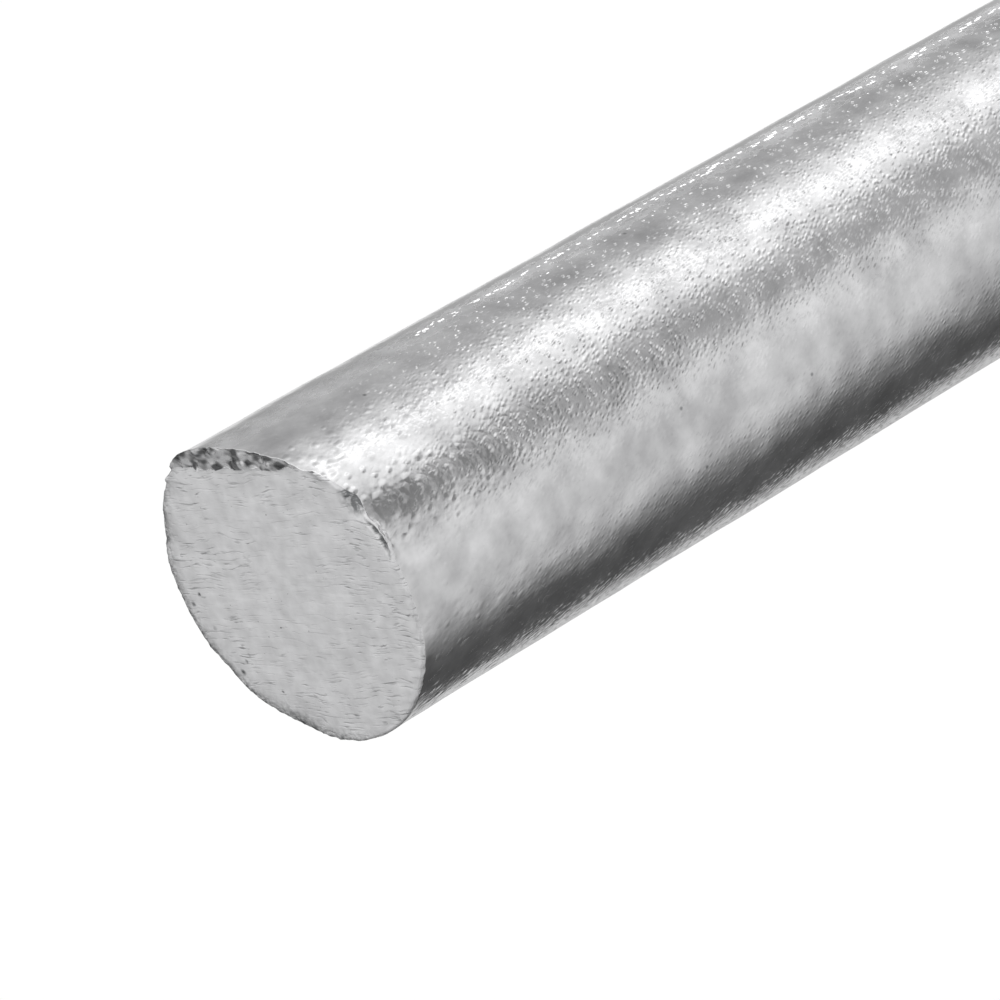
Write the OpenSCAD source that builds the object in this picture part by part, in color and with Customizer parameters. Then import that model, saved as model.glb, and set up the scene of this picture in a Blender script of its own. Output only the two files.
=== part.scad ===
// Round zinc anode rod, cut to a stock length.
// It stands on its square end, with its axis on Z. The end at the top was sawn by hand: the cut leans
// from square, and its last strip, on the +X side, snapped before the saw was through and left a torn
// lip that stands proud of the sawn face.

/* [Bar] */
// Diameter of the round bar
bar_d = 12.7; // [6:0.1:30]
// Overall length, from the square end to the crest of the torn lip
bar_len = 152.4; // [60:0.1:1000]

/* [Square end] */
// Chamfer left by deburring the square end
edge_break = 0.3; // [0.1:0.05:1]

/* [Sawn end] */
// Lean of the saw cut from square, in degrees
cut_lean = 5.4; // [0:0.1:12]
// Way that the sawn face leans, in degrees round the bar from the lip
cut_lean_dir = 228; // [0:1:359]

/* [Torn lip] */
// Thickness of the last strip, which snapped instead of being sawn
lip_t = 1.35; // [0.4:0.05:2.5]
// Slope of the torn face, rising outwards from the sawn face, in degrees
lip_slope = 34; // [5:1:45]

/* [Hidden] */
$fn = 96;

bar_r = bar_d / 2;
// Distance of the lip's root from the bar's axis
root_x = bar_r - lip_t;
// Lean of the torn face from square, which the two slopes make together
torn_lean = acos(cos(lip_slope) * cos(cut_lean) + sin(lip_slope) * sin(cut_lean) * cos(cut_lean_dir));
// How far the lip's crest and the sawn face's highest edge stand above the middle of the sawn face
lip_rise = bar_r * tan(torn_lean) - root_x * sin(lip_slope) / cos(torn_lean);
cut_rise = bar_r * tan(cut_lean);
// Height of the middle of the sawn face
cut_z = bar_len - max(lip_rise, cut_rise);

// The bar before it was sawn: its half section, turned round the axis
module bar() {
    spare = bar_d;
    rotate_extrude()
        polygon([
            [0, 0],
            [bar_r - edge_break, 0],
            [bar_r, edge_break],
            [bar_r, bar_len + spare],
            [0, bar_len + spare]
        ]);
}

// What was sawn and snapped off: all that is above the sawn face, and beyond the lip's root all that
// is above the torn face
module offcut() {
    reach = 2 * bar_d;
    translate([0, 0, cut_z])
        rotate(a = cut_lean, v = [-sin(cut_lean_dir), cos(cut_lean_dir), 0])
            rotate([90, 0, 0])
                linear_extrude(height = 2 * reach, center = true)
                    polygon([
                        [root_x, 0],
                        [-reach, 0],
                        [-reach, 2 * reach],
                        [reach, 2 * reach],
                        [reach, (reach - root_x) * tan(lip_slope)]
                    ]);
}

module zinc_rod() {
    color("#c2c4c5")
        difference() {
            bar();
            offcut();
        }
}

zinc_rod();
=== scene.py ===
"""A zinc anode rod that stands on its square end, with its sawn and torn end at the top."""
import math

import bpy
from mathutils import Matrix, Vector


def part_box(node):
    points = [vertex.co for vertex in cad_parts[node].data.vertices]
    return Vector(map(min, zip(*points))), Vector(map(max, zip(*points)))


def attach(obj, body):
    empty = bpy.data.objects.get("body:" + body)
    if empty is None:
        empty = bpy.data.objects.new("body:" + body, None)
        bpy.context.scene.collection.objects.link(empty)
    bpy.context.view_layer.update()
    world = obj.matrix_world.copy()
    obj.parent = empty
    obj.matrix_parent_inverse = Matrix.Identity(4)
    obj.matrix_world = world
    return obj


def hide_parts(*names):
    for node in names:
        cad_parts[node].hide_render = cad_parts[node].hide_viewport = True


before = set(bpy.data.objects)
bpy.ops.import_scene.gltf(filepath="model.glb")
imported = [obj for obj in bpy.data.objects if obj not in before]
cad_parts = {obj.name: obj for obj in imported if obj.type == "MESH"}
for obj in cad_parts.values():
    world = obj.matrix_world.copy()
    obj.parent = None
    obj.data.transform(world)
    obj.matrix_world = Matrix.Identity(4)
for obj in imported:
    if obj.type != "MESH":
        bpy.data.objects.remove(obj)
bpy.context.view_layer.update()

MM = 0.001

# The rod, from the frame
rod_low, rod_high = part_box("zinc_rod")
RADIUS = (rod_high.x - rod_low.x) / 2
LENGTH = rod_high.z - rod_low.z

# The square end, the saw cut and the torn lip, as they are on the solid
EDGE_BREAK = 0.3 * MM
CUT_LEAN = math.radians(5.4)
CUT_LEAN_DIR = math.radians(228)
LIP_THICKNESS = 1.35 * MM
LIP_SLOPE = math.radians(34)

# The mesh: points round the rod, rings down its side and rings across each end. The rings crowd
# towards the sawn rim by these powers
POINTS_ROUND = 400
SIDE_RINGS = 110
END_RINGS = 65
SIDE_CROWDING = 1.7
END_CROWDING = 1.6

# The side's slow waves and ripples: how far apart they are, and how far they stand up or down
WAVE_SPACING = 4.2 * MM
WAVE_HEIGHT = 0.05 * MM
RIPPLE_SPACING = 2.2 * MM
RIPPLE_HEIGHT = 0.03 * MM

# The saw's marks: how far apart they are, how long, and how deep. The finest are drawn in the material, as
# bumps with painted shade in their grooves
SAW_PITCH = 0.36 * MM
SAW_STROKE = 2.0 * MM
SAW_DEPTH = 0.016 * MM
FINE_SAW_MARKS = ((0.09 * MM, 1.5 * MM), (0.15 * MM, 0.7 * MM))
FINE_SAW_DEPTH = 0.04 * MM
# How far apart the bends of the finest marks are, how far they bend, and how far apart the patches are in
# which they show most
BEND_SPACING = 2.5 * MM
BEND_REACH = 0.9 * MM
PATCH_SPACING = 1.3 * MM

# The sawn face's clouds of tone, its torn pits with their ragged edges, drawn as painted shade, and the
# specks of its broken rim
CLOUD_SPACING = 0.7 * MM
TORN_PIT_SPACING = 0.6 * MM
TORN_PIT_EDGE = 0.2 * MM
SPECK_SPACING = 0.2 * MM
SPECK_DEPTH = 0.06 * MM

# The lip's lumps: the way the strip tore, how wide and long they are along it, their height, how near
# the crest they are calmer, and the share of their height that is left there
TEAR_TURN = math.radians(-41)
LUMP_WIDTH = 0.5 * MM
LUMP_LENGTH = 1.3 * MM
LUMP_HEIGHT = 0.24 * MM
CREST_REACH = 0.35 * MM
CREST_CALM = 0.4

# The rim of the sawn end: its rounding, its raggedness, and how far the saw turned it outwards
RIM_ROUNDING = 0.11 * MM
RIM_GRAIN = 0.3 * MM
RIM_RAGGED = 0.12 * MM
FLARE_DEPTH = 0.35 * MM
FLARE_OUT = 0.05 * MM

# What the saw left on the rim: burrs that stand up from the face, and rough chips and smooth dents that
# drop below it, which are also darkened with painted shade. Each has its direction from the lip, its width
# along the rim, its height or depth, and how steeply it fades inwards
RIM_BURRS = (
    (math.radians(-36), 1.3 * MM, 0.25 * MM, 26),
    (math.radians(44), 0.4 * MM, 0.18 * MM, 30),
    (math.radians(186), 0.7 * MM, 0.08 * MM, 26),
)
RIM_CHIPS = (
    (math.radians(68), 1.5 * MM, 0.14 * MM, 14),
    (math.radians(124), 1.0 * MM, 0.06 * MM, 16),
    (math.radians(157), 2.4 * MM, 0.14 * MM, 12),
)
RIM_DENTS = (
    (math.radians(-54), 0.9 * MM, 0.3 * MM, 9),
)
# An edge that is folded outwards: its direction, half its length, how far it stands out, and the groove
# behind it, with its distance from the rim, half its width and its depth. The groove also gets painted
# shade
FOLD_DIR = math.radians(-69)
FOLD_REACH = 1.15 * MM
FOLD_OUT = 0.15 * MM
GROOVE_IN = 0.12 * MM
GROOVE_HALF = 0.12 * MM
GROOVE_DEPTH = 0.16 * MM
# The side where the saw came in, and broke the rim. Painted shade gathers on the rim and in the torn pits
# there
SAW_ENTRY = (math.cos(math.radians(118)), math.sin(math.radians(118)), 0)

# The skin's clouds of tone and its dark pits, which are painted shade: how far apart they are
MOTTLE_SPACING = 1.4 * MM
SKIN_PIT_SPACING = 1.7 * MM

# The skin's fine relief, which is too low to model: slow swells, grain, and blisters. Each kind of blister
# has its spacing across and along the slant, its height, its radius as a share of the spacing, and how
# rare it is
SWELL_SPACING = 1.7 * MM
SWELL_HEIGHT = 0.025 * MM
GRAIN_SPACING = 0.2 * MM
GRAIN_HEIGHT = 0.005 * MM
BLISTER_SLANT = math.radians(-30)
CLOSE_BLISTERS = (0.17 * MM, 0.30 * MM, 0.012 * MM, 0.7, 0.1)
SOFT_BLISTERS = (0.40 * MM, 0.50 * MM, 0.022 * MM, 0.6, 0.35)
SHARP_BLISTERS = (0.22 * MM, 0.34 * MM, 0.028 * MM, 0.5, 0.5)
ROW_BLISTERS = (0.30 * MM, 0.42 * MM, 0.002 * MM, 0.6, 0.0)
# The smallest and largest of a kind, as shares of its radius
BLISTER_RANGE = (0.6, 1.2)
# How far from the sawn end the soft kind stops, and the close and sharp kinds are at their full height
SOFT_END = 12 * MM
FULL_FROM = 9 * MM
# How strong the relief is at each direction round the rod, in degrees from the lip: the close blisters
# and grain, which two sides have lost by rubbing, the sharp blisters, and a row of bright ones beside
# the lip
CLOSE_LEVELS = (
    (-180, 1.0), (-134, 1.0), (-125, 0.3), (-108, 0.3), (-86, 0.5), (-70, 1.0), (-32, 1.0), (-20, 0.35),
    (-12, 0.35), (-8, 0.1), (5, 0.1), (11, 0.35), (24, 0.35), (34, 1.0), (180, 1.0),
)
SHARP_LEVELS = (
    (-180, 0.6), (-134, 0.6), (-125, 0.1), (-100, 0.1), (-80, 0.25), (-68, 0.6), (-28, 0.6), (-20, 1.0),
    (-12, 0.9), (-8, 0.0), (5, 0.0), (11, 0.25), (24, 0.6), (180, 0.6),
)
ROW_LEVELS = ((-180, 0.0), (-11, 0.0), (-7, 1.0), (3, 1.0), (7, 0.0), (180, 0.0))

# Roughness: of the rubbed and the unrubbed skin, of the skin between the row's tops and on them, and of the
# sawn and the torn face
SKIN_ROUGHNESS = (0.05, 0.19)
ROW_ROUGHNESS = (0.5, 0.05)
SAWN_ROUGHNESS = 0.42
TORN_ROUGHNESS = 0.22

# The camera: the photograph's view of the sawn end, in a 1000 pixel square
IMAGE_SIZE = 1000
FACE_PIXEL = (289.9, 589.9)
CAMERA_DISTANCE = 216.0 * MM
CAMERA_AZIMUTH = math.radians(21.54)
CAMERA_ELEVATION = math.radians(35.33)
CAMERA_ROLL = math.radians(-120.5)
LENS = 211.75
SENSOR = 36.0


def linear(hex_colour):
    """An sRGB hex colour as linear red, green, blue and alpha."""
    levels = [int(hex_colour[i:i + 2], 16) / 255 for i in (1, 3, 5)]
    return (*[v / 12.92 if v <= 0.04045 else ((v + 0.055) / 1.055) ** 2.4 for v in levels], 1.0)


def add(tree, kind, inputs=None, **settings):
    """Adds a node with its settings, and links or fills its inputs. A node given as an input stands for its
    first output in use."""
    made = tree.nodes.new(kind)
    for name, value in settings.items():
        setattr(made, name, value)
    for key, value in (inputs or {}).items():
        if isinstance(value, bpy.types.Node):
            value = next(o for o in value.outputs if o.enabled)
        if isinstance(value, bpy.types.NodeSocket):
            tree.links.new(value, made.inputs[key])
        else:
            made.inputs[key].default_value = value
    return made


def pointing(direction, elevation=0.0):
    """A unit vector from a direction round the rod and an angle above the floor."""
    flat = math.cos(elevation)
    return Vector((math.cos(direction) * flat, math.sin(direction) * flat, math.sin(elevation)))


# The two planes of the sawn end

def slope_of(normal):
    """How a plane with this normal rises along X and Y."""
    return Vector((-normal.x / normal.z, -normal.y / normal.z, 0))


lean = Matrix.Rotation(CUT_LEAN, 3, Vector((-math.sin(CUT_LEAN_DIR), math.cos(CUT_LEAN_DIR), 0)))
sawn_slope = slope_of(lean @ Vector((0, 0, 1)))
torn_slope = slope_of(lean @ Vector((-math.sin(LIP_SLOPE), 0, math.cos(LIP_SLOPE))))
lip_root = lean @ Vector((RADIUS - LIP_THICKNESS, 0, 0))
# The torn plane meets the axis below the sawn one, and its crest is the rod's highest point
torn_drop = lip_root.z - torn_slope.dot(lip_root)
torn_height = LENGTH - RADIUS * torn_slope.length
sawn_height = torn_height - torn_drop


# Materials

def metal(name):
    """A new metal: its tree, its shader and where each point lies on the rod."""
    made = bpy.data.materials.new(name)
    made.use_nodes = True
    tree = made.node_tree
    shader = tree.nodes["Principled BSDF"]
    shader.inputs["Metallic"].default_value = 1.0
    return made, tree, shader, add(tree, "ShaderNodeTexCoord").outputs["Object"]


def by_direction(tree, place, levels, most=1.0):
    """A value that follows a list of directions round the rod, in degrees, each with its level."""
    turn = add(tree, "ShaderNodeTexGradient", {"Vector": place}, gradient_type="RADIAL")
    ramp = add(tree, "ShaderNodeValToRGB", {"Fac": turn.outputs["Fac"]})
    stops = ramp.color_ramp.elements
    for direction, level in levels:
        at = (direction + 180) / 360
        stop = stops[0] if at == 0 else stops[-1] if at == 1 else stops.new(at)
        stop.color = (*[level / most] * 3, 1)
    return ramp


def extruded_zinc():
    """Bare extruded zinc: a light grey satin metal whose skin has fine grain and blisters, so that a soft
    light breaks up into small glints, with slow clouds of tone and a few pits drawn as dark spots of
    painted shade."""
    made, t, shader, place = metal("extruded_zinc")
    mottle = add(t, "ShaderNodeTexNoise", {"Vector": place, "Scale": 1 / MOTTLE_SPACING, "Detail": 4.0})
    tone = add(t, "ShaderNodeMapRange", {"Value": mottle, "From Min": 0.3, "From Max": 0.7})
    colour = add(t, "ShaderNodeMix", {"Factor": tone, 6: linear("#b2b2b3"), 7: linear("#d4d4d5")},
                 data_type="RGBA")
    # Pits drawn only as dark spots of painted shade, with no relief
    pit = add(t, "ShaderNodeTexVoronoi", {"Vector": place, "Scale": 1 / SKIN_PIT_SPACING})
    pit_shade = add(t, "ShaderNodeMapRange", {"Value": pit, "From Min": 0.02, "From Max": 0.06,
                                           "To Min": 0.8, "To Max": 0.0})
    colour = add(t, "ShaderNodeMix", {"Factor": pit_shade, 6: colour, 7: linear("#7a7b7c")}, data_type="RGBA")

    # The rubbed sides are smoother
    strength = by_direction(t, place, CLOSE_LEVELS)
    rough = add(t, "ShaderNodeMath", {0: mottle, 1: strength}, operation="ADD")
    rough = add(t, "ShaderNodeMapRange", {"Value": rough, "From Min": 0.6, "From Max": 1.7,
                                          "To Min": SKIN_ROUGHNESS[0], "To Max": SKIN_ROUGHNESS[1]})

    # Swells and grain
    swell = add(t, "ShaderNodeTexNoise", {"Vector": place, "Scale": 1 / SWELL_SPACING, "Detail": 1.0})
    swell = add(t, "ShaderNodeMapRange", {"Value": swell, "To Min": -SWELL_HEIGHT, "To Max": SWELL_HEIGHT})
    grain = add(t, "ShaderNodeTexNoise", {"Vector": place, "Scale": 1 / GRAIN_SPACING, "Detail": 0.5})
    grain = add(t, "ShaderNodeMapRange", {"Value": grain, "To Min": -GRAIN_HEIGHT, "To Max": GRAIN_HEIGHT})
    relief = add(t, "ShaderNodeMath", {0: grain, 1: strength, 2: swell}, operation="MULTIPLY_ADD")

    # How strong each kind of blister is here
    level = add(t, "ShaderNodeSeparateXYZ", {0: place}).outputs["Z"]
    below = add(t, "ShaderNodeMath", {0: sawn_height, 1: level}, operation="SUBTRACT")
    soft = add(t, "ShaderNodeMapRange", {"Value": below, "From Min": SOFT_END, "From Max": SOFT_END / 3})
    soft = add(t, "ShaderNodeMath", {0: soft, 1: strength}, operation="MULTIPLY")
    full = add(t, "ShaderNodeMapRange", {"Value": below, "From Max": FULL_FROM})
    close = add(t, "ShaderNodeMath", {0: full, 1: strength}, operation="MULTIPLY")
    sharp = by_direction(t, place, SHARP_LEVELS)
    sharp = add(t, "ShaderNodeMath", {0: full, 1: sharp}, operation="MULTIPLY")
    row = by_direction(t, place, ROW_LEVELS)

    # Blisters sit on the skin as it would lie unrolled, along a slant
    turn = add(t, "ShaderNodeTexGradient", {"Vector": place}, gradient_type="RADIAL")
    arc = add(t, "ShaderNodeMath", {0: turn.outputs["Fac"], 1: 2 * math.pi * RADIUS}, operation="MULTIPLY")
    unrolled = add(t, "ShaderNodeCombineXYZ", {"X": arc, "Y": level})
    slanted = add(t, "ShaderNodeVectorRotate", {"Vector": unrolled, "Angle": BLISTER_SLANT},
                  rotation_type="Z_AXIS")
    smallest, largest = BLISTER_RANGE
    for amount, kind in ((close, CLOSE_BLISTERS), (soft, SOFT_BLISTERS), (sharp, SHARP_BLISTERS),
                         (row, ROW_BLISTERS)):
        across, along, tall, reach, rarity = kind
        grid = add(t, "ShaderNodeVectorMath", {0: slanted, 1: (1 / across, 1 / along, 0)},
                   operation="MULTIPLY")
        cell = add(t, "ShaderNodeTexVoronoi", {"Vector": grid, "Scale": 1.0}, voronoi_dimensions="2D")
        chance = add(t, "ShaderNodeSeparateColor", {0: cell.outputs["Color"]})
        wide = add(t, "ShaderNodeMapRange", {"Value": chance.outputs["Green"], "To Min": smallest * reach,
                                             "To Max": largest * reach})
        dome = add(t, "ShaderNodeMapRange", {"Value": cell.outputs["Distance"], "From Max": wide,
                                             "To Min": 1.0, "To Max": 0.0},
                   interpolation_type="SMOOTHSTEP")
        chosen = add(t, "ShaderNodeMapRange", {"Value": chance.outputs["Red"], "From Min": rarity,
                                               "From Max": 0.85})
        dome = add(t, "ShaderNodeMath", {0: dome, 1: chosen}, operation="MULTIPLY")
        height = add(t, "ShaderNodeMath", {0: amount, 1: tall}, operation="MULTIPLY")
        relief = add(t, "ShaderNodeMath", {0: dome, 1: height, 2: relief}, operation="MULTIPLY_ADD")
    # The row is the last kind: its tops are rubbed bright and the skin between them is dull
    dull = add(t, "ShaderNodeMapRange", {"Value": dome, "From Min": 0.05, "From Max": 0.2,
                                         "To Min": ROW_ROUGHNESS[0], "To Max": ROW_ROUGHNESS[1]})
    rough = add(t, "ShaderNodeMix", {"Factor": row, "A": rough, "B": dull})
    normal = add(t, "ShaderNodeBump", {"Height": relief, "Distance": 1.0})
    t.links.new(colour.outputs[2], shader.inputs["Base Color"])
    t.links.new(rough.outputs[0], shader.inputs["Roughness"])
    t.links.new(normal.outputs[0], shader.inputs["Normal"])
    return made


def sawn_zinc():
    """Sawn zinc: matt pale grey, with fine saw grooves along the saw's stroke, small torn pits and a rough
    edge where the saw came in. The grooves and the edge are bumped, and all three are darkened with painted
    shade."""
    made, t, shader, place = metal("sawn_zinc")
    plan = add(t, "ShaderNodeVectorMath", {0: place, 1: (1 / RADIUS, 1 / RADIUS, 0)}, operation="MULTIPLY")
    outward = add(t, "ShaderNodeVectorMath", {0: plan}, operation="LENGTH")

    # Fine saw marks that wander a little, and show most in patches and towards the rim. Their grooves are
    # bumped and darkened with painted shade
    bend = add(t, "ShaderNodeTexNoise", {"Vector": place, "Scale": 1 / BEND_SPACING, "Detail": 2.0})
    bent = add(t, "ShaderNodeVectorMath", {0: bend.outputs["Color"], 1: (BEND_REACH, 0, 0), 2: place},
               operation="MULTIPLY_ADD")
    patch = add(t, "ShaderNodeTexNoise", {"Vector": place, "Scale": 1 / PATCH_SPACING, "Detail": 3.0})
    patch = add(t, "ShaderNodeMath", {0: outward, 1: 0.3, 2: patch}, operation="MULTIPLY_ADD")
    patch = add(t, "ShaderNodeMapRange", {"Value": patch, "From Min": 0.58, "From Max": 0.96,
                                          "To Min": 0.16, "To Max": 1.0})
    groove = 0.0
    for pitch, stroke in FINE_SAW_MARKS:
        along = add(t, "ShaderNodeVectorMath", {0: bent, 1: (1 / pitch, 1 / stroke, 0)},
                    operation="MULTIPLY")
        line = add(t, "ShaderNodeTexNoise", {"Vector": along, "Scale": 1.0, "Detail": 3.0})
        low = add(t, "ShaderNodeMapRange", {"Value": line, "From Min": 0.26, "From Max": 0.42,
                                            "To Min": 1.0, "To Max": 0.0})
        groove = add(t, "ShaderNodeMath", {0: low, 1: groove}, operation="MAXIMUM")
    deep = add(t, "ShaderNodeMath", {0: groove, 1: patch}, operation="MULTIPLY")
    groove = add(t, "ShaderNodeMath", {0: deep, 1: 0.85}, operation="MULTIPLY")

    # Torn pits, drawn only as painted shade with no relief, larger towards the side where the saw came in
    stray = add(t, "ShaderNodeTexNoise", {"Vector": place, "Scale": 1 / TORN_PIT_EDGE})
    stray = add(t, "ShaderNodeVectorMath", {0: stray.outputs["Color"], 1: (TORN_PIT_EDGE, TORN_PIT_EDGE, 0),
                                            2: place}, operation="MULTIPLY_ADD")
    pit = add(t, "ShaderNodeTexVoronoi", {"Vector": stray, "Scale": 1 / TORN_PIT_SPACING})
    entry = add(t, "ShaderNodeVectorMath", {0: plan, 1: SAW_ENTRY}, operation="DOT_PRODUCT")
    wide = add(t, "ShaderNodeMapRange", {"Value": entry, "From Min": 0.6, "From Max": 0.9,
                                         "To Min": 0.06, "To Max": 0.32})
    pit_shade = add(t, "ShaderNodeMapRange", {"Value": pit, "From Max": wide, "To Min": 1.2, "To Max": 0.0})
    marked = add(t, "ShaderNodeMath", {0: groove, 1: pit_shade}, operation="MAXIMUM")

    # The broken rim gets speckled painted shade
    rim = add(t, "ShaderNodeAttribute", attribute_name="broken_rim_shade").outputs["Fac"]
    rim = add(t, "ShaderNodeMapRange", {"Value": rim, "From Max": 0.6})
    speck = add(t, "ShaderNodeTexNoise", {"Vector": place, "Scale": 1 / SPECK_SPACING, "Detail": 2.0})
    speck = add(t, "ShaderNodeMapRange", {"Value": speck, "From Min": 0.35, "From Max": 0.65,
                                          "To Min": 1.0, "To Max": 0.3})
    broken_rim_shade = add(t, "ShaderNodeMath", {0: rim, 1: speck}, operation="MULTIPLY")
    marked = add(t, "ShaderNodeMath", {0: marked, 1: broken_rim_shade}, operation="MAXIMUM", use_clamp=True)

    # The pale face, with painted shade in its dents
    cloud = add(t, "ShaderNodeTexNoise", {"Vector": place, "Scale": 1 / CLOUD_SPACING, "Detail": 5.0})
    cloud = add(t, "ShaderNodeMapRange", {"Value": cloud, "From Min": 0.3, "From Max": 0.7})
    pale = add(t, "ShaderNodeMix", {"Factor": cloud, 6: linear("#bfbfc0"), 7: linear("#d3d3d4")},
               data_type="RGBA")
    dent_shade = add(t, "ShaderNodeAttribute", attribute_name="dent_and_shade").outputs["Fac"]
    dent_shade = add(t, "ShaderNodeMath", {0: dent_shade, 1: speck}, operation="MULTIPLY")
    dent_shade = add(t, "ShaderNodeMapRange", {"Value": dent_shade, "From Min": 0.05, "From Max": 0.45})
    pale = add(t, "ShaderNodeMix", {"Factor": dent_shade, 6: pale, 7: linear("#6c6d6e")}, data_type="RGBA")
    # The face is mixed towards dark grey as painted shade in the saw grooves, torn pits, broken rim and
    # dents
    colour = add(t, "ShaderNodeMix", {"Factor": marked, 6: pale, 7: linear("#4a4b4c")}, data_type="RGBA")

    normal = add(t, "ShaderNodeBump", {"Height": deep, "Distance": FINE_SAW_DEPTH}, invert=True)
    normal = add(t, "ShaderNodeBump", {"Height": speck, "Distance": SPECK_DEPTH, "Strength": rim,
                                       "Normal": normal})
    shader.inputs["Roughness"].default_value = SAWN_ROUGHNESS
    t.links.new(colour.outputs[2], shader.inputs["Base Color"])
    t.links.new(normal.outputs[0], shader.inputs["Normal"])
    return made


def snapped_zinc():
    """Snapped zinc: pale lumps with dark hollows of painted shade between them, drawn out the way the strip
    tore.
    """
    made, t, shader, place = metal("snapped_zinc")
    turned = add(t, "ShaderNodeVectorRotate", {"Vector": place, "Angle": TEAR_TURN}, rotation_type="Z_AXIS")
    drawn = add(t, "ShaderNodeVectorMath", {0: turned, 1: (1 / LUMP_WIDTH, 1 / LUMP_LENGTH, 0)},
                operation="MULTIPLY")
    # The tone is painted shade: dark where the hollows between the lumps are meant to be
    tone = add(t, "ShaderNodeTexNoise", {"Vector": drawn, "Scale": 1.3, "Detail": 1.0})
    tone = add(t, "ShaderNodeMapRange", {"Value": tone, "From Min": 0.4, "From Max": 0.55})
    colour = add(t, "ShaderNodeMix", {"Factor": tone, 6: linear("#4a4b4c"), 7: linear("#d6d6d7")},
                 data_type="RGBA")
    shader.inputs["Roughness"].default_value = TORN_ROUGHNESS
    t.links.new(colour.outputs[2], shader.inputs["Base Color"])
    return made


skin_zinc = extruded_zinc()
cut_zinc = sawn_zinc()
torn_zinc = snapped_zinc()


# The rod

EVERY_WAY = Vector((1, 1, 1))
ROD_SIZES = {
    "Radius": RADIUS,
    "Length": LENGTH,
    "Edge Break": EDGE_BREAK,
    "Sawn Height": sawn_height,
    "Sawn Slope": sawn_slope,
    "Torn Height": torn_height,
    "Torn Slope": torn_slope,
    "Wave Size": EVERY_WAY * WAVE_SPACING,
    "Wave Height": WAVE_HEIGHT,
    "Ripple Size": EVERY_WAY * RIPPLE_SPACING,
    "Ripple Height": RIPPLE_HEIGHT,
    "Saw Mark Size": Vector((SAW_PITCH, SAW_STROKE, MM)),
    "Saw Mark Depth": SAW_DEPTH,
    "Lump Size": Vector((LUMP_WIDTH, LUMP_LENGTH, MM)),
    "Lump Height": LUMP_HEIGHT,
    "Crest Reach": CREST_REACH,
    "Rim Rounding": RIM_ROUNDING,
    "Rim Grain Size": EVERY_WAY * RIM_GRAIN,
    "Rim Raggedness": RIM_RAGGED,
    "Flare Depth": FLARE_DEPTH,
    "Flare Out": FLARE_OUT,
    "Fold Reach": FOLD_REACH,
    "Fold Out": FOLD_OUT,
    "Groove Inset": GROOVE_IN,
    "Groove Half Width": GROOVE_HALF,
    "Groove Depth": GROOVE_DEPTH,
}
# How sharply relief gathers at the side and at the ragged rim, and painted shade at the broken rim: powers
# of the distance from the axis
SIDE_ONLY = 8.0
RAGGED_ONLY = 30.0
BROKEN_ONLY = 25.0


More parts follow.
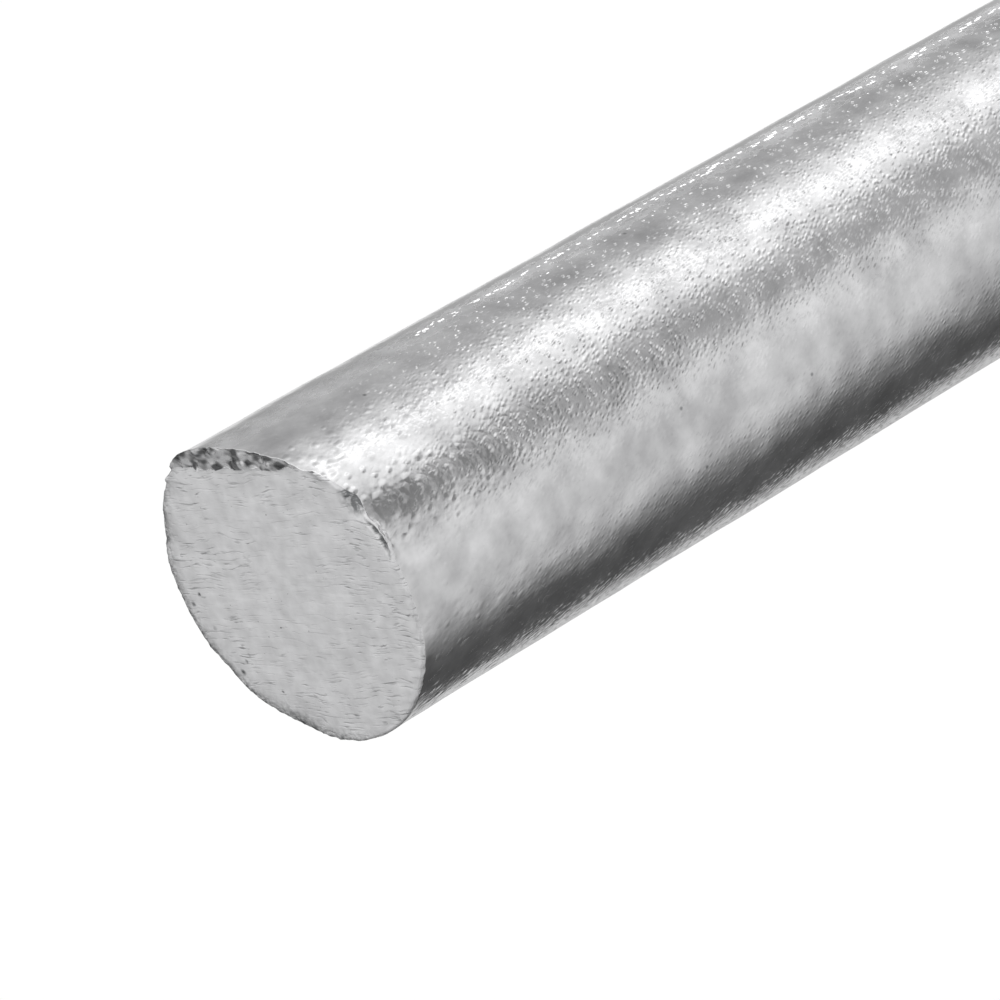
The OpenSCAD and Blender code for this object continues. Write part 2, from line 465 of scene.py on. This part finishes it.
def rod_tree():
    """A bar turned from rings, with its two ends cut to their planes and its relief on all sides."""
    t = bpy.data.node_groups.new("sawn_rod", "GeometryNodeTree")
    t.interface.new_socket("Geometry", in_out="OUTPUT", socket_type="NodeSocketGeometry")
    for name, value in ROD_SIZES.items():
        kind = "NodeSocketVector" if isinstance(value, Vector) else "NodeSocketFloat"
        t.interface.new_socket(name, in_out="INPUT", socket_type=kind)
    size = t.nodes.new("NodeGroupInput").outputs

    # Rings of a unit bar, crowded towards the sawn rim
    bar = add(t, "GeometryNodeMeshCylinder",
              {"Vertices": POINTS_ROUND, "Side Segments": SIDE_RINGS, "Fill Segments": END_RINGS,
               "Radius": 1.0, "Depth": 1.0}, fill_type="TRIANGLE_FAN")
    place = add(t, "GeometryNodeInputPosition")
    plan = add(t, "ShaderNodeVectorMath", {0: place, 1: (1, 1, 0)}, operation="MULTIPLY")
    way = add(t, "ShaderNodeVectorMath", {0: plan}, operation="NORMALIZE")
    share = add(t, "ShaderNodeVectorMath", {0: plan}, operation="LENGTH")
    inward = add(t, "ShaderNodeMath", {0: 1.0, 1: share}, operation="SUBTRACT", use_clamp=True)
    crowded = add(t, "ShaderNodeMath", {0: inward, 1: END_CROWDING}, operation="POWER")
    outward = add(t, "ShaderNodeMath", {0: 1.0, 1: crowded}, operation="SUBTRACT")
    level = add(t, "ShaderNodeSeparateXYZ", {0: place}).outputs["Z"]
    below = add(t, "ShaderNodeMath", {0: 0.5, 1: level}, operation="SUBTRACT", use_clamp=True)
    sunk = add(t, "ShaderNodeMath", {0: below, 1: SIDE_CROWDING}, operation="POWER")
    height = add(t, "ShaderNodeMath", {0: 1.0, 1: sunk}, operation="SUBTRACT")
    from_axis = add(t, "ShaderNodeMath", {0: size["Radius"], 1: outward}, operation="MULTIPLY")
    from_rim = add(t, "ShaderNodeMath", {0: size["Radius"], 1: from_axis}, operation="SUBTRACT")
    even = add(t, "ShaderNodeVectorMath", {0: way, "Scale": from_axis}, operation="SCALE")
    rise = add(t, "ShaderNodeMath", {0: height, 1: size["Length"]}, operation="MULTIPLY")
    up = add(t, "ShaderNodeCombineXYZ", {"Z": rise})
    spot = add(t, "ShaderNodeVectorMath", {0: even, 1: up}, operation="ADD")

    # The round side with its waves and ripples
    relief = 0.0
    for name, detail in (("Wave", 1.0), ("Ripple", 2.0)):
        spread = add(t, "ShaderNodeVectorMath", {0: spot, 1: size[name + " Size"]}, operation="DIVIDE")
        swing = add(t, "ShaderNodeTexNoise", {"Vector": spread, "Scale": 1.0, "Detail": detail})
        swing = add(t, "ShaderNodeMapRange", {"Value": swing, "To Min": -1.0, "To Max": 1.0})
        relief = add(t, "ShaderNodeMath", {0: swing, 1: size[name + " Height"], 2: relief},
                     operation="MULTIPLY_ADD")

    # The rim is turned outwards a little, and folded out at one place
    turned = add(t, "ShaderNodeTexNoise", {"Vector": way, "Scale": 2.5, "Detail": 2.0})
    turned = add(t, "ShaderNodeMapRange", {"Value": turned, "From Min": 0.35, "From Max": 0.7,
                                           "To Min": 0.0, "To Max": size["Flare Out"]})
    from_fold = add(t, "ShaderNodeVectorMath", {0: even, 1: pointing(FOLD_DIR) * RADIUS},
                    operation="DISTANCE")
    folded = add(t, "ShaderNodeMapRange", {"Value": from_fold, "From Max": size["Fold Reach"],
                                           "To Min": 1.0, "To Max": 0.0}, interpolation_type="SMOOTHSTEP")
    turned = add(t, "ShaderNodeMath", {0: folded, 1: size["Fold Out"], 2: turned},
                 operation="MULTIPLY_ADD")
    depth = add(t, "ShaderNodeMath", {0: sunk, 1: size["Length"]}, operation="MULTIPLY")
    flare = add(t, "ShaderNodeMapRange", {"Value": depth, "From Max": size["Flare Depth"],
                                          "To Min": 1.0, "To Max": 0.0}, interpolation_type="SMOOTHSTEP")
    relief = add(t, "ShaderNodeMath", {0: flare, 1: turned, 2: relief}, operation="MULTIPLY_ADD")
    at_side = add(t, "ShaderNodeMath", {0: outward, 1: SIDE_ONLY}, operation="POWER")
    reach = add(t, "ShaderNodeMath", {0: relief, 1: at_side, 2: from_axis}, operation="MULTIPLY_ADD")
    flat = add(t, "ShaderNodeVectorMath", {0: way, "Scale": reach}, operation="SCALE")

    # The sawn face and its saw marks
    sawn = add(t, "ShaderNodeVectorMath", {0: flat, 1: size["Sawn Slope"]}, operation="DOT_PRODUCT")
    sawn = add(t, "ShaderNodeMath", {0: sawn, 1: size["Sawn Height"]}, operation="ADD")
    stroke = add(t, "ShaderNodeVectorMath", {0: flat, 1: size["Saw Mark Size"]}, operation="DIVIDE")
    groove = add(t, "ShaderNodeTexNoise", {"Vector": stroke, "Scale": 1.0, "Detail": 1.0})
    groove = add(t, "ShaderNodeMapRange", {"Value": groove, "To Min": -1.0, "To Max": 1.0})
    sawn = add(t, "ShaderNodeMath", {0: groove, 1: size["Saw Mark Depth"], 2: sawn},
               operation="MULTIPLY_ADD")

    # The torn lip and its lumps
    torn = add(t, "ShaderNodeVectorMath", {0: flat, 1: size["Torn Slope"]}, operation="DOT_PRODUCT")
    torn = add(t, "ShaderNodeMath", {0: torn, 1: size["Torn Height"]}, operation="ADD")
    tear = add(t, "ShaderNodeVectorRotate", {"Vector": flat, "Angle": TEAR_TURN}, rotation_type="Z_AXIS")
    drawn = add(t, "ShaderNodeVectorMath", {0: tear, 1: size["Lump Size"]}, operation="DIVIDE")
    lump = add(t, "ShaderNodeTexNoise", {"Vector": drawn, "Scale": 1.0, "Detail": 2.0})
    lump = add(t, "ShaderNodeMapRange", {"Value": lump, "To Min": -1.0, "To Max": 1.0})
    lump = add(t, "ShaderNodeMath", {0: lump, 1: size["Lump Height"]}, operation="MULTIPLY")
    calm = add(t, "ShaderNodeMapRange", {"Value": from_rim, "From Max": size["Crest Reach"],
                                         "To Min": CREST_CALM})
    torn = add(t, "ShaderNodeMath", {0: lump, 1: calm, 2: torn}, operation="MULTIPLY_ADD")
    is_torn = add(t, "ShaderNodeMath", {0: torn, 1: sawn}, operation="GREATER_THAN")
    top = add(t, "ShaderNodeMath", {0: torn, 1: sawn}, operation="MAXIMUM")

    # The rim is rounded where it was sawn, and ragged all round
    worn = add(t, "ShaderNodeMapRange", {"Value": from_rim, "From Max": size["Rim Rounding"],
                                         "To Min": 1.0, "To Max": 0.0})
    worn = add(t, "ShaderNodeMath", {0: worn, 1: 2.0}, operation="POWER")
    worn = add(t, "ShaderNodeMath", {0: worn, 1: size["Rim Rounding"]}, operation="MULTIPLY")
    is_sawn = add(t, "ShaderNodeMath", {0: 1.0, 1: is_torn}, operation="SUBTRACT")
    worn = add(t, "ShaderNodeMath", {0: worn, 1: is_sawn}, operation="MULTIPLY")
    top = add(t, "ShaderNodeMath", {0: top, 1: worn}, operation="SUBTRACT")
    grain = add(t, "ShaderNodeVectorMath", {0: flat, 1: size["Rim Grain Size"]}, operation="DIVIDE")
    grain = add(t, "ShaderNodeTexNoise", {"Vector": grain, "Scale": 1.0, "Detail": 2.0})
    grain = add(t, "ShaderNodeMapRange", {"Value": grain, "To Min": -1.0, "To Max": 1.0})
    grain = add(t, "ShaderNodeMath", {0: grain, 1: size["Rim Raggedness"]}, operation="MULTIPLY")
    at_rim = add(t, "ShaderNodeMath", {0: outward, 1: RAGGED_ONLY}, operation="POWER")
    top = add(t, "ShaderNodeMath", {0: grain, 1: at_rim, 2: top}, operation="MULTIPLY_ADD")

    # The broken rim where the saw came in, which gets painted shade, and the groove behind the fold, which
    # is sunk and gets painted shade as well
    entry = add(t, "ShaderNodeVectorMath", {0: way, 1: SAW_ENTRY}, operation="DOT_PRODUCT")
    entry = add(t, "ShaderNodeMapRange", {"Value": entry, "From Min": 0.1, "From Max": 0.6})
    edge = add(t, "ShaderNodeMath", {0: outward, 1: BROKEN_ONLY}, operation="POWER")
    broken_rim_shade = add(t, "ShaderNodeMath", {0: entry, 1: edge}, operation="MULTIPLY")
    off_groove = add(t, "ShaderNodeMath", {0: from_rim, 1: size["Groove Inset"]}, operation="SUBTRACT")
    off_groove = add(t, "ShaderNodeMath", {0: off_groove}, operation="ABSOLUTE")
    dent_and_shade = add(t, "ShaderNodeMapRange", {"Value": off_groove, "From Max": size["Groove Half Width"],
                                           "To Min": 1.0, "To Max": 0.0}, interpolation_type="SMOOTHSTEP")
    dent_and_shade = add(t, "ShaderNodeMath", {0: dent_and_shade, 1: folded}, operation="MULTIPLY")
    sunken = add(t, "ShaderNodeMath", {0: dent_and_shade, 1: size["Groove Depth"]}, operation="MULTIPLY")
    top = add(t, "ShaderNodeMath", {0: top, 1: sunken}, operation="SUBTRACT")

    # Burrs, chips and dents. The chips and dents also join the masks of painted shade
    for marks, side in ((RIM_BURRS, 1), (RIM_CHIPS, -1), (RIM_DENTS, -1)):
        for direction, width, tall, fade in marks:
            away = add(t, "ShaderNodeVectorMath", {0: flat, 1: pointing(direction) * RADIUS},
                       operation="DISTANCE")
            near = add(t, "ShaderNodeMapRange", {"Value": away, "From Max": width, "To Min": 1.0,
                                                 "To Max": 0.0}, interpolation_type="SMOOTHSTEP")
            fading = add(t, "ShaderNodeMath", {0: outward, 1: fade}, operation="POWER")
            mark = add(t, "ShaderNodeMath", {0: near, 1: fading}, operation="MULTIPLY")
            top = add(t, "ShaderNodeMath", {0: mark, 1: side * tall, 2: top}, operation="MULTIPLY_ADD")
            if marks is RIM_CHIPS:
                broken_rim_shade = add(t, "ShaderNodeMath", {0: mark, 1: broken_rim_shade}, operation="MAXIMUM")
            if marks is RIM_DENTS:
                dent_and_shade = add(t, "ShaderNodeMath", {0: mark, 1: dent_and_shade}, operation="MAXIMUM")

    # The square end and its broken edge
    foot = add(t, "ShaderNodeMapRange", {"Value": from_rim, "From Max": size["Edge Break"],
                                         "To Min": size["Edge Break"], "To Max": 0.0})

    # Every point goes to its place between the two ends
    high = add(t, "ShaderNodeMix", {"Factor": height, "A": foot, "B": top})
    high = add(t, "ShaderNodeCombineXYZ", {"Z": high})
    final = add(t, "ShaderNodeVectorMath", {0: flat, 1: high}, operation="ADD")
    marked = bar.outputs["Mesh"]
    for name, value in (("torn", is_torn), ("broken_rim_shade", broken_rim_shade), ("dent_and_shade", dent_and_shade)):
        marked = add(t, "GeometryNodeStoreNamedAttribute",
                     {"Geometry": marked, "Name": name, "Value": value}, data_type="FLOAT", domain="POINT")
    shaped = add(t, "GeometryNodeSetPosition", {"Geometry": marked, "Position": final})
    smooth = add(t, "GeometryNodeSetShadeSmooth", {"Geometry": shaped})
    finished = add(t, "GeometryNodeRealizeInstances", {"Geometry": smooth})
    ends = add(t, "FunctionNodeBooleanMath", {0: bar.outputs["Top"], 1: bar.outputs["Bottom"]},
               operation="OR")
    lip = add(t, "GeometryNodeInputNamedAttribute", {"Name": "torn"}, data_type="FLOAT")
    lip = add(t, "ShaderNodeMath", {0: lip, 1: 0.5}, operation="GREATER_THAN")
    lip = add(t, "FunctionNodeBooleanMath", {0: lip, 1: bar.outputs["Top"]}, operation="AND")
    for where, material in ((True, skin_zinc), (ends, cut_zinc), (lip, torn_zinc)):
        finished = add(t, "GeometryNodeSetMaterial", {"Geometry": finished, "Selection": where,
                                                      "Material": material})
    add(t, "NodeGroupOutput", {"Geometry": finished})
    return t


def built(name, tree, sizes):
    """A plain mesh object from a tree, with the tree's sizes set."""
    carrier = bpy.data.objects.new(name, bpy.data.meshes.new(name))
    bpy.context.scene.collection.objects.link(carrier)
    modifier = carrier.modifiers.new(name, "NODES")
    modifier.node_group = tree
    for socket in tree.interface.items_tree:
        if socket.in_out == "INPUT":
            modifier[socket.identifier] = sizes[socket.name]
    evaluated = carrier.evaluated_get(bpy.context.evaluated_depsgraph_get())
    mesh = bpy.data.meshes.new_from_object(evaluated)
    carrier.modifiers.clear()
    mesh.materials.pop(index=list(mesh.materials).index(None))
    carrier.data = mesh
    return carrier


rod = built("zinc_rod_skin", rod_tree(), ROD_SIZES)
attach(rod, "root")
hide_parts("zinc_rod")

# Stage: a pale floor, and light and dark cards that stand round the rod for it to reflect

FLOOR_SIZE = 6.0
# What the floor adds to its own colour where it is seen, so that it is white where no shadow falls
FLOOR_GLOW = 0.21
CARD_RADIUS = 0.08
CARD_HEIGHT = 0.165
CARD_PANELS = 96
# How far above the floor the cards begin, and the mat lies
CARD_FOOT = 0.5 * MM
MAT_HEIGHT = 0.2 * MM
# Brightness of the cards at each direction round the rod, in degrees from the lip, one line each: the dark
# side, the broad fill, the darker gap, the key light, the grey behind the lip, and the far side
CARD_LEVELS = (
    (-180, 0.12), (-165, 0.15), (-152, 0.33),
    (-137, 0.74), (-122, 0.90), (-96, 0.98), (-84, 1.12), (-74, 0.92),
    (-62, 0.62), (-52, 0.58), (-42, 0.78),
    (-30, 1.34), (-18, 1.56), (-4, 1.48), (6, 1.15),
    (18, 0.78), (30, 0.60), (44, 0.66), (60, 0.70), (72, 0.58), (84, 0.50),
    (96, 0.90), (106, 0.86), (116, 0.60), (128, 0.66), (142, 0.84), (153, 0.44), (160, 0.14), (180, 0.12),
)
BRIGHTEST = 1.7
# The cards lean: how far they turn round the rod with height, and the height at which they are where the
# list has them
CARD_LEAN = math.radians(0.15) / MM
CARD_MIDDLE = 0.082
# How far they fade to black towards their top behind the far rim, and the heights between which they do
RIM_SHADE = ((-180, 0.0), (84, 0.0), (98, 0.75), (124, 0.75), (140, 0.0), (180, 0.0))
RIM_SHADE_RISE = (0.095, 0.125)
# Cards in front of those: first and last direction, lower and upper edge, and brightness. They are a dark
# one for the skin next to the cut, and narrow bright ones for the row of blisters and for the middle of
# the key light
SMALL_CARDS = {
    "cut_card": (-66, -44, 0.094, 0.13, 0.36),
    "row_card": (60.5, 64.5, CARD_FOOT, 0.088, 2.8),
    "key_card": (-13, -9, CARD_FOOT, CARD_HEIGHT, 2.3),
}
SMALL_CARD_GAP = 2 * MM
# The card overhead: its height, half its width, and its brightness on the side away from the lip and
# towards it, with the places between which it changes
OVERHEAD_HEIGHT = 0.5
OVERHEAD_REACH = 0.6
OVERHEAD_LEVELS = (0.5, 1.6)
OVERHEAD_RISE = (-0.45, 0.35)
# The lamp: its share of the light on the floor, where it comes from and how wide it is
LAMP_SHARE = 0.35
LAMP_DIRECTION = math.radians(-140)
LAMP_ELEVATION = math.radians(52)
LAMP_WIDTH = math.radians(30)

WHITE = (1, 1, 1, 1)


def stage_material(name):
    """A new material with an empty tree."""
    made = bpy.data.materials.new(name)
    made.use_nodes = True
    made.node_tree.nodes.clear()
    return made, made.node_tree


def pale_floor():
    """A pale floor that is white to the eye and in reflections, and keeps its shadows."""
    made, t = stage_material("pale_floor")
    path = add(t, "ShaderNodeLightPath")
    shown = add(t, "ShaderNodeMath", {0: path.outputs["Is Camera Ray"], 1: path.outputs["Is Glossy Ray"]},
                operation="MAXIMUM")
    shown = add(t, "ShaderNodeMath", {0: shown, 1: path.outputs["Is Transmission Ray"]},
                operation="MAXIMUM")
    paint = add(t, "ShaderNodeBsdfDiffuse", {"Color": linear("#e8e8e8")})
    glow = add(t, "ShaderNodeEmission", {"Color": WHITE, "Strength": FLOOR_GLOW})
    both = add(t, "ShaderNodeAddShader", {0: paint, 1: glow})
    mixed = add(t, "ShaderNodeMixShader", {0: shown, 1: paint, 2: both})
    add(t, "ShaderNodeOutputMaterial", {"Surface": mixed})
    return made


def ring_light():
    """The light and dark of the cards that stand round the rod."""
    made, t = stage_material("ring_light")
    place = add(t, "ShaderNodeTexCoord").outputs["Object"]
    level = add(t, "ShaderNodeSeparateXYZ", {0: place}).outputs["Z"]
    lean_by = add(t, "ShaderNodeMath", {0: level, 1: CARD_LEAN, 2: -CARD_LEAN * CARD_MIDDLE},
                  operation="MULTIPLY_ADD")
    leaning = add(t, "ShaderNodeVectorRotate", {"Vector": place, "Angle": lean_by}, rotation_type="Z_AXIS")
    ramp = by_direction(t, leaning, CARD_LEVELS, BRIGHTEST)
    low, high = RIM_SHADE_RISE
    dark = add(t, "ShaderNodeMapRange", {"Value": level, "From Min": low, "From Max": high})
    dark = add(t, "ShaderNodeMath", {0: dark, 1: by_direction(t, place, RIM_SHADE)}, operation="MULTIPLY")
    strength = add(t, "ShaderNodeMapRange", {"Value": dark, "To Min": BRIGHTEST, "To Max": 0.0})
    glow = add(t, "ShaderNodeEmission", {"Color": ramp, "Strength": strength})
    add(t, "ShaderNodeOutputMaterial", {"Surface": glow})
    return made


def overhead_light():
    """The card overhead, brighter towards the lip."""
    made, t = stage_material("overhead_light")
    place = add(t, "ShaderNodeTexCoord").outputs["Object"]
    across = add(t, "ShaderNodeSeparateXYZ", {0: place}).outputs["X"]
    level = add(t, "ShaderNodeMapRange", {"Value": across, "From Min": OVERHEAD_RISE[0],
                                          "From Max": OVERHEAD_RISE[1], "To Min": OVERHEAD_LEVELS[0],
                                          "To Max": OVERHEAD_LEVELS[1]})
    glow = add(t, "ShaderNodeEmission", {"Color": WHITE, "Strength": level})
    add(t, "ShaderNodeOutputMaterial", {"Surface": glow})
    return made


def plain_light(name, level):
    """A card of one brightness."""
    made, t = stage_material(name)
    glow = add(t, "ShaderNodeEmission", {"Color": WHITE, "Strength": level})
    add(t, "ShaderNodeOutputMaterial", {"Surface": glow})
    return made


def square(half, z):
    """The corners of a level square round the rod's axis."""
    return [(-half, -half, z), (half, -half, z), (half, half, z), (-half, half, z)]


def stage_mesh(name, points, faces, material):
    """A piece of the stage."""
    mesh = bpy.data.meshes.new(name)
    mesh.from_pydata(points, [], faces)
    mesh.materials.append(material)
    made = bpy.data.objects.new(name, mesh)
    bpy.context.scene.collection.objects.link(made)
    return made


def glossy_only(card):
    """Makes a card show only in reflections."""
    card.visible_camera = False
    card.visible_diffuse = False
    card.visible_shadow = False
    card.visible_transmission = False


def curved_card(name, radius, first, last, low, high, material):
    """A card bent round the rod, from one direction to another, in degrees."""
    edges = []
    for i in range(CARD_PANELS + 1):
        foot = pointing(math.radians(first + (last - first) * i / CARD_PANELS)) * radius
        edges += [(foot.x, foot.y, low), (foot.x, foot.y, high)]
    panels = [(2 * i, 2 * i + 2, 2 * i + 3, 2 * i + 1) for i in range(CARD_PANELS)]
    glossy_only(stage_mesh(name, edges, panels, material))


ONE_FACE = [(0, 1, 2, 3)]
stage_mesh("floor", square(FLOOR_SIZE / 2, 0), ONE_FACE, pale_floor())
glossy_only(stage_mesh("overhead", square(OVERHEAD_REACH, OVERHEAD_HEIGHT), ONE_FACE, overhead_light()))
ring = ring_light()
curved_card("cards", CARD_RADIUS, -180, 180, CARD_FOOT, CARD_HEIGHT, ring)
# A mat on the floor carries the cards' light and dark on to the foot of the rod
glossy_only(stage_mesh("mat", square(CARD_RADIUS, MAT_HEIGHT), ONE_FACE, ring))
for name, (first, last, low, high, level) in SMALL_CARDS.items():
    curved_card(name, CARD_RADIUS - SMALL_CARD_GAP, first, last, low, high, plain_light(name, level))

# The world is white where it is seen or reflected. On the floor it gives way to the soft lamp, which shows
# only in the shadow that it casts
world = bpy.data.worlds.new("studio")
bpy.context.scene.world = world
world.use_nodes = True
sky = world.node_tree
diffuse = add(sky, "ShaderNodeLightPath").outputs["Is Diffuse Ray"]
strength = add(sky, "ShaderNodeMapRange", {"Value": diffuse, "To Min": 1.0, "To Max": 1.0 - LAMP_SHARE})
background = sky.nodes["Background"]
background.inputs["Color"].default_value = WHITE
sky.links.new(strength.outputs[0], background.inputs["Strength"])
lamp = bpy.data.lights.new("soft_lamp", "SUN")
lamp.energy = LAMP_SHARE * math.pi / math.sin(LAMP_ELEVATION)
lamp.angle = LAMP_WIDTH
soft_lamp = bpy.data.objects.new("soft_lamp", lamp)
bpy.context.scene.collection.objects.link(soft_lamp)
soft_lamp.rotation_mode = "QUATERNION"
soft_lamp.rotation_quaternion = pointing(LAMP_DIRECTION, LAMP_ELEVATION).to_track_quat("Z", "Y")
soft_lamp.visible_glossy = False

# Camera
face = Vector((0, 0, sawn_height))
back = pointing(CAMERA_AZIMUTH - math.pi / 2, CAMERA_ELEVATION)
level_right = pointing(CAMERA_AZIMUTH)
level_up = back.cross(level_right)
right = level_right * math.cos(CAMERA_ROLL) + level_up * math.sin(CAMERA_ROLL)
up = back.cross(right)
per_pixel = CAMERA_DISTANCE * SENSOR / LENS / IMAGE_SIZE
shift_right = (FACE_PIXEL[0] - IMAGE_SIZE / 2) * per_pixel
shift_up = (IMAGE_SIZE / 2 - FACE_PIXEL[1]) * per_pixel
lens = bpy.data.cameras.new("camera")
lens.lens = LENS
lens.sensor_width = SENSOR
lens.clip_start = 1 * MM
camera = bpy.data.objects.new("camera", lens)
bpy.context.scene.collection.objects.link(camera)
stand = face + back * CAMERA_DISTANCE - right * shift_right - up * shift_up
turn = Matrix((right, up, back)).transposed().to_4x4()
camera.matrix_world = Matrix.Translation(stand) @ turn
bpy.context.scene.camera = camera

bpy.context.scene.view_settings.view_transform = "Standard"
